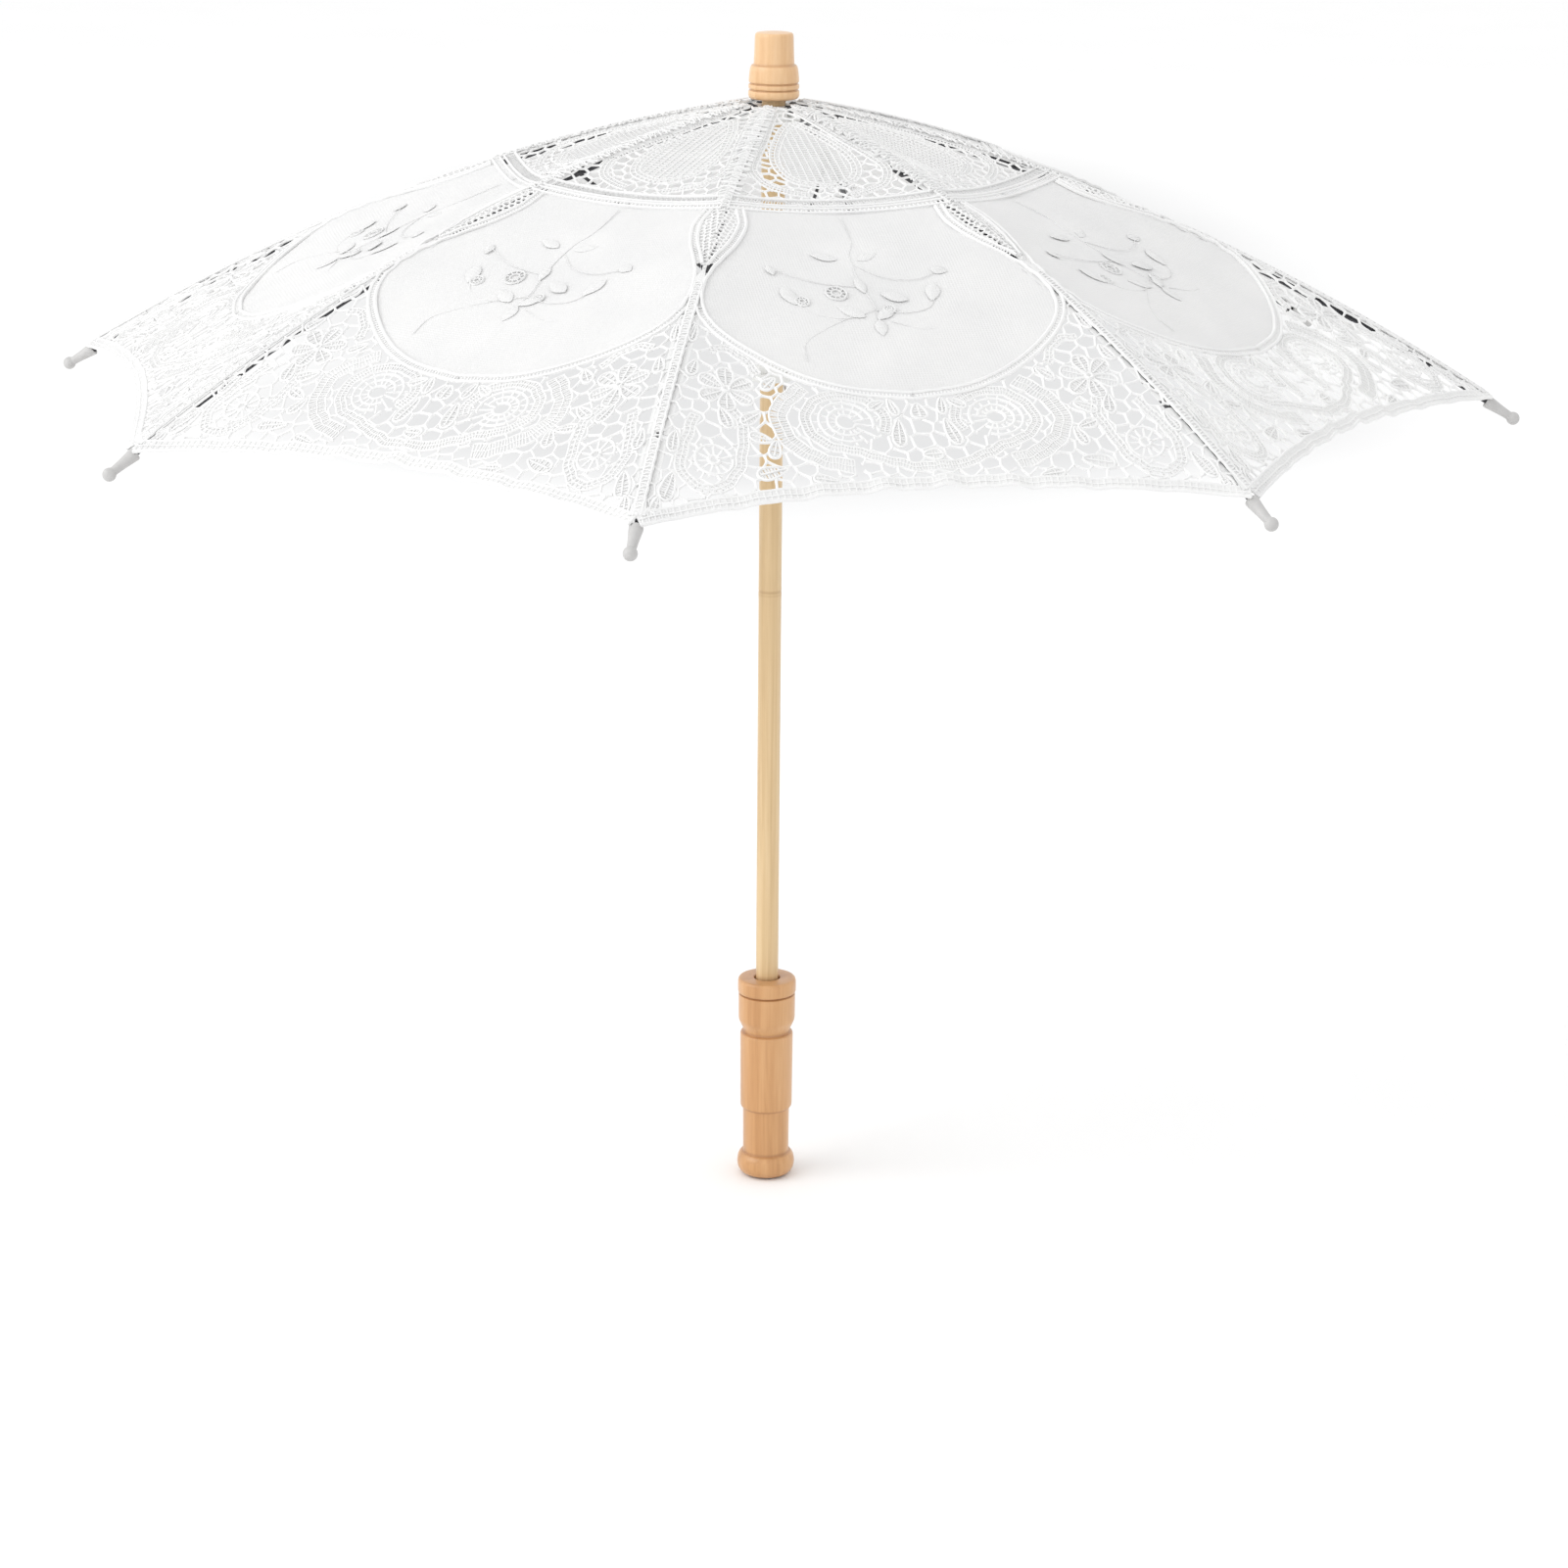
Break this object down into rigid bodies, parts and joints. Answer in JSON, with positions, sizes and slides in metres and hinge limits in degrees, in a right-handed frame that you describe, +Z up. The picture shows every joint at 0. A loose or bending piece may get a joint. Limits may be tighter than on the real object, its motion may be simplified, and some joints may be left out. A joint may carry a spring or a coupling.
{
  "type": "lace parasol",
  "caption": "Small open parasol with a scalloped linen and tape-lace canopy on a folding wire frame, a slim round stick and a short turned wooden grip.",
  "frame": {"origin": "centre of the handle's flat end face, on the shaft's axis, where the hand holds the parasol up", "axes": "+Z up along the shaft to the ferrule; rib 1 lies along +X and the ribs are numbered towards +Y, every 45 degrees"},
  "size_m": [0.5318, 0.5318, 0.43],
  "materials": {
    "linen_lace": "matte white linen with cotton tape lace",
    "rib_steel": "dark coated steel wire",
    "zinc_wire": "bright zinc",
    "tip_plastic": "satin light grey",
    "white_plastic": "satin white",
    "ferrule_wood": "satin turned beech",
    "handle_wood": "satin turned beech, tan",
    "stick_wood": "satin bamboo-coloured wood"
  },
  "bodies": {
    "stick": {"shaft": "stick_wood", "handle": "handle_wood", "ferrule": "ferrule_wood", "top_notch": "white_plastic", "notch_wire": "zinc_wire", "stop_pin": "zinc_wire"},
    "runner_body": {"runner": "white_plastic", "runner_wire": "zinc_wire"},
    "catch_body": {"top_catch": "zinc_wire"},
    "rib_arm_1": {"rib_1": "rib_steel", "rib_tip_1": "tip_plastic", "joint_clip_1": "rib_steel", "joint_pin_1": "zinc_wire", "canopy_panel_1": "linen_lace"},
    "stretcher_arm_1": {"stretcher_1": "rib_steel"},
    "rib_arm_2": {"rib_2": "rib_steel", "rib_tip_2": "tip_plastic", "joint_clip_2": "rib_steel", "joint_pin_2": "zinc_wire", "canopy_panel_2": "linen_lace"},
    "stretcher_arm_2": {"stretcher_2": "rib_steel"},
    "rib_arm_3": {"rib_3": "rib_steel", "rib_tip_3": "tip_plastic", "joint_clip_3": "rib_steel", "joint_pin_3": "zinc_wire", "canopy_panel_3": "linen_lace"},
    "stretcher_arm_3": {"stretcher_3": "rib_steel"},
    "rib_arm_4": {"rib_4": "rib_steel", "rib_tip_4": "tip_plastic", "joint_clip_4": "rib_steel", "joint_pin_4": "zinc_wire", "canopy_panel_4": "linen_lace"},
    "stretcher_arm_4": {"stretcher_4": "rib_steel"},
    "rib_arm_5": {"rib_5": "rib_steel", "rib_tip_5": "tip_plastic", "joint_clip_5": "rib_steel", "joint_pin_5": "zinc_wire", "canopy_panel_5": "linen_lace"},
    "stretcher_arm_5": {"stretcher_5": "rib_steel"},
    "rib_arm_6": {"rib_6": "rib_steel", "rib_tip_6": "tip_plastic", "joint_clip_6": "rib_steel", "joint_pin_6": "zinc_wire", "canopy_panel_6": "linen_lace"},
    "stretcher_arm_6": {"stretcher_6": "rib_steel"},
    "rib_arm_7": {"rib_7": "rib_steel", "rib_tip_7": "tip_plastic", "joint_clip_7": "rib_steel", "joint_pin_7": "zinc_wire", "canopy_panel_7": "linen_lace"},
    "stretcher_arm_7": {"stretcher_7": "rib_steel"},
    "rib_arm_8": {"rib_8": "rib_steel", "rib_tip_8": "tip_plastic", "joint_clip_8": "rib_steel", "joint_pin_8": "zinc_wire", "canopy_panel_8": "linen_lace"},
    "stretcher_arm_8": {"stretcher_8": "rib_steel"}
  },
  "joints": [
    {"name": "runner_slide", "type": "slide", "parent": "stick", "child": "runner_body", "axis": [0, 0, -1], "range_m": [0, 0.17258]},
    {"name": "catch_press", "type": "slide", "parent": "stick", "child": "catch_body", "axis": [-0.9239, -0.3827, 0], "range_m": [0, 0.0022], "stiffness_N_per_m": 900},
    {"name": "rib_hinge_1", "type": "hinge", "parent": "stick", "child": "rib_arm_1", "pos_m": [0.0085, 0, 0.40376], "axis": [0, 1, 0], "range_deg": [0, 61.02], "deforming": ["canopy_panel_1"]},
    {"name": "stretcher_hinge_1", "type": "hinge", "parent": "rib_arm_1", "child": "stretcher_arm_1", "pos_m": [0.12878, 0, 0.36704], "axis": [0, -1, 0], "range_deg": [0, 122.05]},
    {"name": "rib_hinge_2", "type": "hinge", "parent": "stick", "child": "rib_arm_2", "pos_m": [0.00601, 0.00601, 0.40376], "axis": [-0.7071, 0.7071, 0], "range_deg": [0, 61.02], "deforming": ["canopy_panel_2"]},
    {"name": "stretcher_hinge_2", "type": "hinge", "parent": "rib_arm_2", "child": "stretcher_arm_2", "pos_m": [0.09106, 0.09106, 0.36704], "axis": [0.7071, -0.7071, 0], "range_deg": [0, 122.05]},
    {"name": "rib_hinge_3", "type": "hinge", "parent": "stick", "child": "rib_arm_3", "pos_m": [0, 0.0085, 0.40376], "axis": [-1, 0, 0], "range_deg": [0, 61.02], "deforming": ["canopy_panel_3"]},
    {"name": "stretcher_hinge_3", "type": "hinge", "parent": "rib_arm_3", "child": "stretcher_arm_3", "pos_m": [0, 0.12878, 0.36704], "axis": [1, 0, 0], "range_deg": [0, 122.05]},
    {"name": "rib_hinge_4", "type": "hinge", "parent": "stick", "child": "rib_arm_4", "pos_m": [-0.00601, 0.00601, 0.40376], "axis": [-0.7071, -0.7071, 0], "range_deg": [0, 61.02], "deforming": ["canopy_panel_4"]},
    {"name": "stretcher_hinge_4", "type": "hinge", "parent": "rib_arm_4", "child": "stretcher_arm_4", "pos_m": [-0.09106, 0.09106, 0.36704], "axis": [0.7071, 0.7071, 0], "range_deg": [0, 122.05]},
    {"name": "rib_hinge_5", "type": "hinge", "parent": "stick", "child": "rib_arm_5", "pos_m": [-0.0085, 0, 0.40376], "axis": [0, -1, 0], "range_deg": [0, 61.02], "deforming": ["canopy_panel_5"]},
    {"name": "stretcher_hinge_5", "type": "hinge", "parent": "rib_arm_5", "child": "stretcher_arm_5", "pos_m": [-0.12878, 0, 0.36704], "axis": [0, 1, 0], "range_deg": [0, 122.05]},
    {"name": "rib_hinge_6", "type": "hinge", "parent": "stick", "child": "rib_arm_6", "pos_m": [-0.00601, -0.00601, 0.40376], "axis": [0.7071, -0.7071, 0], "range_deg": [0, 61.02], "deforming": ["canopy_panel_6"]},
    {"name": "stretcher_hinge_6", "type": "hinge", "parent": "rib_arm_6", "child": "stretcher_arm_6", "pos_m": [-0.09106, -0.09106, 0.36704], "axis": [-0.7071, 0.7071, 0], "range_deg": [0, 122.05]},
    {"name": "rib_hinge_7", "type": "hinge", "parent": "stick", "child": "rib_arm_7", "pos_m": [0, -0.0085, 0.40376], "axis": [1, 0, 0], "range_deg": [0, 61.02], "deforming": ["canopy_panel_7"]},
    {"name": "stretcher_hinge_7", "type": "hinge", "parent": "rib_arm_7", "child": "stretcher_arm_7", "pos_m": [0, -0.12878, 0.36704], "axis": [-1, 0, 0], "range_deg": [0, 122.05]},
    {"name": "rib_hinge_8", "type": "hinge", "parent": "stick", "child": "rib_arm_8", "pos_m": [0.00601, -0.00601, 0.40376], "axis": [0.7071, 0.7071, 0], "range_deg": [0, 61.02], "deforming": ["canopy_panel_8"]},
    {"name": "stretcher_hinge_8", "type": "hinge", "parent": "rib_arm_8", "child": "stretcher_arm_8", "pos_m": [0.09106, -0.09106, 0.36704], "axis": [-0.7071, -0.7071, 0], "range_deg": [0, 122.05]}
  ],
  "couplings": [
    {"joint": "rib_hinge_1", "follows": "runner_slide", "rad_per_m": 6.1712},
    {"joint": "stretcher_hinge_1", "follows": "runner_slide", "rad_per_m": 12.342},
    {"joint": "rib_hinge_2", "follows": "runner_slide", "rad_per_m": 6.1712},
    {"joint": "stretcher_hinge_2", "follows": "runner_slide", "rad_per_m": 12.342},
    {"joint": "rib_hinge_3", "follows": "runner_slide", "rad_per_m": 6.1712},
    {"joint": "stretcher_hinge_3", "follows": "runner_slide", "rad_per_m": 12.342},
    {"joint": "rib_hinge_4", "follows": "runner_slide", "rad_per_m": 6.1712},
    {"joint": "stretcher_hinge_4", "follows": "runner_slide", "rad_per_m": 12.342},
    {"joint": "rib_hinge_5", "follows": "runner_slide", "rad_per_m": 6.1712},
    {"joint": "stretcher_hinge_5", "follows": "runner_slide", "rad_per_m": 12.342},
    {"joint": "rib_hinge_6", "follows": "runner_slide", "rad_per_m": 6.1712},
    {"joint": "stretcher_hinge_6", "follows": "runner_slide", "rad_per_m": 12.342},
    {"joint": "rib_hinge_7", "follows": "runner_slide", "rad_per_m": 6.1712},
    {"joint": "stretcher_hinge_7", "follows": "runner_slide", "rad_per_m": 12.342},
    {"joint": "rib_hinge_8", "follows": "runner_slide", "rad_per_m": 6.1712},
    {"joint": "stretcher_hinge_8", "follows": "runner_slide", "rad_per_m": 12.342}
  ]
}
